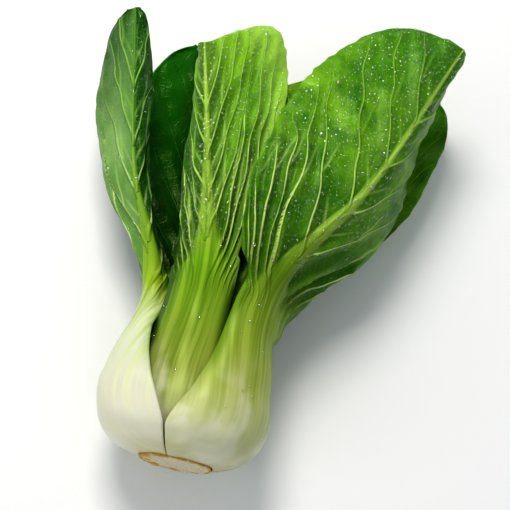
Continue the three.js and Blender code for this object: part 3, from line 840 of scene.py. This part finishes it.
def stemMaterial():
    look = cutFlesh
    material, tree, surface = newMaterial("cutStemFlesh", {
        "Roughness": look["roughness"], "IOR": look["ior"], "Subsurface Weight": look["glow"],
        "Subsurface Radius": look["glowReach"], "Subsurface Scale": look["glowDepth"],
    })
    place = addNode(tree, "ShaderNodeTexCoord").outputs["Object"]
    out = addNode(tree, "ShaderNodeAttribute", attribute_name="out").outputs["Fac"]
    grain = addNode(tree, "ShaderNodeTexNoise", {
        "Vector": place, "Scale": 1 / look["grain"], "Detail": 4.0,
    }).outputs["Fac"]
    rough = addNode(tree, "ShaderNodeMath", {0: out, 1: grain}, operation="ADD").outputs[0]
    age = addNode(tree, "ShaderNodeMath", {0: rough, 1: 0.5}, operation="SUBTRACT").outputs[0]
    flesh = addNode(tree, "ShaderNodeValToRGB", {"Fac": age}, [
        (0.78, look["pith"]), (0.88, look["dry"]), (0.95, look["rim"]),
    ]).outputs["Color"]
    bundles = addNode(tree, "ShaderNodeTexVoronoi", {
        "Vector": place, "Scale": 1 / look["bundleSpacing"],
    }, feature="F1").outputs["Distance"]
    dots = addNode(tree, "ShaderNodeMapRange", {
        "Value": bundles, "From Min": 0.12, "From Max": 0.3, "To Min": 0.55, "To Max": 0.0,
    }, interpolation_type="SMOOTHSTEP").outputs["Result"]
    colour = addNode(tree, "ShaderNodeMix", {
        0: dots, 6: flesh, 7: toLinear(look["bundle"]),
    }, data_type="RGBA").outputs[2]
    tree.links.new(colour, surface.inputs["Base Color"])
    bump = addNode(tree, "ShaderNodeBump", {"Height": grain, "Distance": look["relief"]}).outputs["Normal"]
    tree.links.new(bump, surface.inputs["Normal"])
    return material


# Turned from the same profile as the CAD's stem, with an uneven knife-cut face.
def shapeStem():
    rounds, steps = 96, 24
    turn = np.arange(rounds) / rounds * 2 * math.pi
    face = [(0.0, knifeCut["radius"] * (k + 1) / steps) for k in range(steps)]
    profile = face + [(0.3, 15.0)] + stemProfile[1:-1]
    circles, out = [], []
    for number, (h, r) in enumerate(profile):
        wobble = 1 + 0.018 * np.sin(3 * turn + 0.7) + 0.012 * np.sin(7 * turn)
        x, z = r * wobble * np.sin(turn), r * wobble * np.cos(turn)
        y = np.full(rounds, float(h))
        if number < steps:
            y = (knifeCut["height"] + knifeCut["swell"] * swelling(x, z, knifeCut["waves"], 3)
                 - knifeCut["drop"] * ease(r, knifeCut["dropFrom"], knifeCut["radius"]))
        circles.append(np.stack([x, y, z], axis=-1))
        out.append(np.full(rounds, r / head["cutRadius"] if number <= steps + 1 else 1.0))
    ends = [[[0, knifeCut["height"], 0]], [[0, stemProfile[-1][0], 0]]]
    points = np.concatenate(circles + ends) + cutCentre
    a = np.arange(rounds)
    b = np.roll(a, -1)
    faces = [np.stack([b, a, np.full(rounds, len(points) - 2)], axis=-1)]
    for i in range(len(profile) - 1):
        low, high = i * rounds, (i + 1) * rounds
        faces += [np.stack([high + b, high + a, low + a], axis=-1),
                  np.stack([low + b, high + b, low + a], axis=-1)]
    top = (len(profile) - 1) * rounds
    faces.append(np.stack([top + b, np.full(rounds, len(points) - 1), top + a], axis=-1))
    return points * mm, np.concatenate(faces), np.concatenate(out + [np.zeros(1), np.ones(1)])


stemPoints, stemFaces, stemOut = shapeStem()
stem = addMesh("sliced_stem", stemPoints, stemFaces, {"out": stemOut}, None, stemMaterial())
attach(stem, "root")
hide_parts("cut_stem")
print("stem sliced")


# Rinse water: clear drops that sit flattened on the waxy skin.
drops = {
    "seed": 5, "flatness": 0.5, "ior": 1.333,
    "cover": 0.5,  # small drops let most light through to the leaf under them
    "coatIor": 3.0,  # more than water's own, so that drops this small still glint
    "fine": (0.4, 1.0),  # mm, radius of the many small ones
    "big": (1.1, 1.9),
    "count": {"leaf_right": 1200, "leaf_front": 950, "leaf_left": 100},
    "bigCount": {"leaf_right": 4, "leaf_front": 7, "leaf_left": 1},
    "gap": 0.15,  # mm between two
    "lift": 0.08,  # share of its radius that a drop stands up
    "tries": 30,
}


def waterMaterial():
    material, tree, surface = newMaterial("rinseWater", {
        "Base Color": (1.0, 1.0, 1.0, 1.0), "Roughness": 0.0, "IOR": drops["ior"],
        "Transmission Weight": 1.0, "Alpha": drops["cover"],
        "Coat Weight": 1.0, "Coat IOR": drops["coatIor"], "Coat Roughness": 0.02,
    })
    return material


def shapeDrops():
    ball = bmesh.new()
    bmesh.ops.create_icosphere(ball, subdivisions=2, radius=1.0)
    ballPoints = np.array([v.co[:] for v in ball.verts])
    ballFaces = np.array([[v.index for v in f.verts] for f in ball.faces])
    ball.free()
    draw = np.random.default_rng(drops["seed"])
    points, faces, centres, radii = [], [], np.full((1, 3), 1e6), np.zeros(1)
    for name in drops["count"]:
        shape = shapes[name]
        rows, columns = shape["outer"].shape[:2]
        sizes = [draw.uniform(*drops["big"]) for _ in range(drops["bigCount"][name])]
        sizes += [drops["fine"][0] + (drops["fine"][1] - drops["fine"][0]) * draw.random() ** 1.8
                  for _ in range(drops["count"][name])]
        for size in sizes:
            for attempt in range(drops["tries"]):
                i, j = draw.integers(2, rows - 2), draw.integers(2, columns - 2)
                centre, normal = shape["outer"][i, j] / mm, shape["normals"][i, j]
                # They lie on blades that face up, and hardly anywhere else.
                wanted = ease(shape["along"][i, j], 0.5, 0.64) * ease(normal[2], 0.3, 0.75) + 0.004
                if draw.random() > wanted:
                    continue
                if np.all(np.sum((centres - centre) ** 2, axis=1) > (size + radii + drops["gap"]) ** 2):
                    break
            else:
                continue
            centres, radii = np.vstack([centres, centre]), np.append(radii, size)
            side = unit(np.cross(normal, [0.3, 0.9, 0.2]))
            basis = np.stack([side * size, np.cross(normal, side) * size * draw.uniform(0.9, 1.15),
                              normal * size * drops["flatness"]])
            faces.append(ballFaces + len(points) * len(ballPoints))
            points.append((ballPoints @ basis + centre + normal * size * drops["lift"]) * mm)
    print("drops laid:", len(points))
    return np.concatenate(points), np.concatenate(faces)


dropPoints, dropFaces = shapeDrops()
dropPoints[:, 2] = np.maximum(dropPoints[:, 2], 0)
water = addMesh("rinse_water", dropPoints, dropFaces, None, None, waterMaterial())
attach(water, "root")


# Pale matt table that glows a little, as a light table does. Soft daylight comes from the upper left, with a
# weak fill from the left of the cut end. Places are in metres.
table = {
    "colour": "#e6e7e9", "roughness": 0.6, "size": 12.0, "glow": 0.03,
    "grain": 2.5 * mm, "relief": 0.05 * mm,
}
light = {
    "sky": "#eef2f6", "skyStrength": 0.41,
    "keyPlace": (-0.22, 0.46, 0.9), "keySize": 0.36, "keyPower": 5.7, "keyColour": "#fffaf2",
    "fillPlace": (-0.65, -0.5, 0.45), "fillSize": 0.6, "fillPower": 1.25, "fillColour": "#fbfbf4",
    "aim": (0.0, 0.02, 0.03),
}


def tableMaterial():
    material, tree, surface = newMaterial("mattTable", {
        "Base Color": toLinear(table["colour"]), "Roughness": table["roughness"],
        "Emission Color": (1.0, 1.0, 1.0, 1.0), "Emission Strength": table["glow"],
    })
    place = addNode(tree, "ShaderNodeTexCoord").outputs["Object"]
    grain = addNode(tree, "ShaderNodeTexNoise", {
        "Vector": place, "Scale": 1 / table["grain"], "Detail": 3.0,
    }).outputs["Fac"]
    bump = addNode(tree, "ShaderNodeBump", {"Height": grain, "Distance": table["relief"]}).outputs["Normal"]
    tree.links.new(bump, surface.inputs["Normal"])
    return material


half = table["size"] / 2
floorPoints = np.array([(-half, -half, 0), (half, -half, 0), (half, half, 0), (-half, half, 0)])
floor = addMesh("table_top", floorPoints, np.array([[0, 1, 2, 3]]), None, None, tableMaterial())

scene = bpy.context.scene
scene.view_settings.view_transform = "Standard"
scene.view_settings.look = "High Contrast"
world = bpy.data.worlds.new("daylight")
scene.world = world
world.use_nodes = True
sky = world.node_tree.nodes["Background"]
sky.inputs["Color"].default_value = toLinear(light["sky"])
sky.inputs["Strength"].default_value = light["skyStrength"]

for name in ("key", "fill"):
    lamp = bpy.data.lights.new(name + "_light", "AREA")
    lamp.size = light[name + "Size"]
    lamp.energy = light[name + "Power"]
    lamp.color = toLinear(light[name + "Colour"])[:3]
    lampObject = bpy.data.objects.new(name + "_light", lamp)
    scene.collection.objects.link(lampObject)
    lampObject.location = light[name + "Place"]
    towards = Vector(light["aim"]) - lampObject.location
    lampObject.rotation_euler = towards.to_track_quat("-Z", "Y").to_euler()

# The camera looks down on the head from the cut end's side, a little turned. It sees this width at its aim.
view = {
    "lens": 100.0, "sensor": 36.0, "width": 0.2203, "tilt": 18.0, "roll": 12.0,
    "aim": (0.0141, 0.0959, 0.0359),
}
camera = bpy.data.cameras.new("camera")
camera.lens = view["lens"]
camera.sensor_width = view["sensor"]
cameraObject = bpy.data.objects.new("camera", camera)
scene.collection.objects.link(cameraObject)
tilt, roll = math.radians(view["tilt"]), math.radians(view["roll"])
back = Vector((0, -math.sin(tilt), math.cos(tilt)))
level = Vector((0, math.cos(tilt), math.sin(tilt)))
right = Vector((1, 0, 0)) * math.cos(roll) + level * math.sin(roll)
upward = Vector((-1, 0, 0)) * math.sin(roll) + level * math.cos(roll)
turnedView = Matrix((right, upward, back)).transposed().to_4x4()
aim = Vector((axisX + view["aim"][0], stemLow[1] + view["aim"][1], view["aim"][2]))
turnedView.translation = aim + back * view["width"] * view["lens"] / view["sensor"]
cameraObject.matrix_world = turnedView
scene.camera = cameraObject
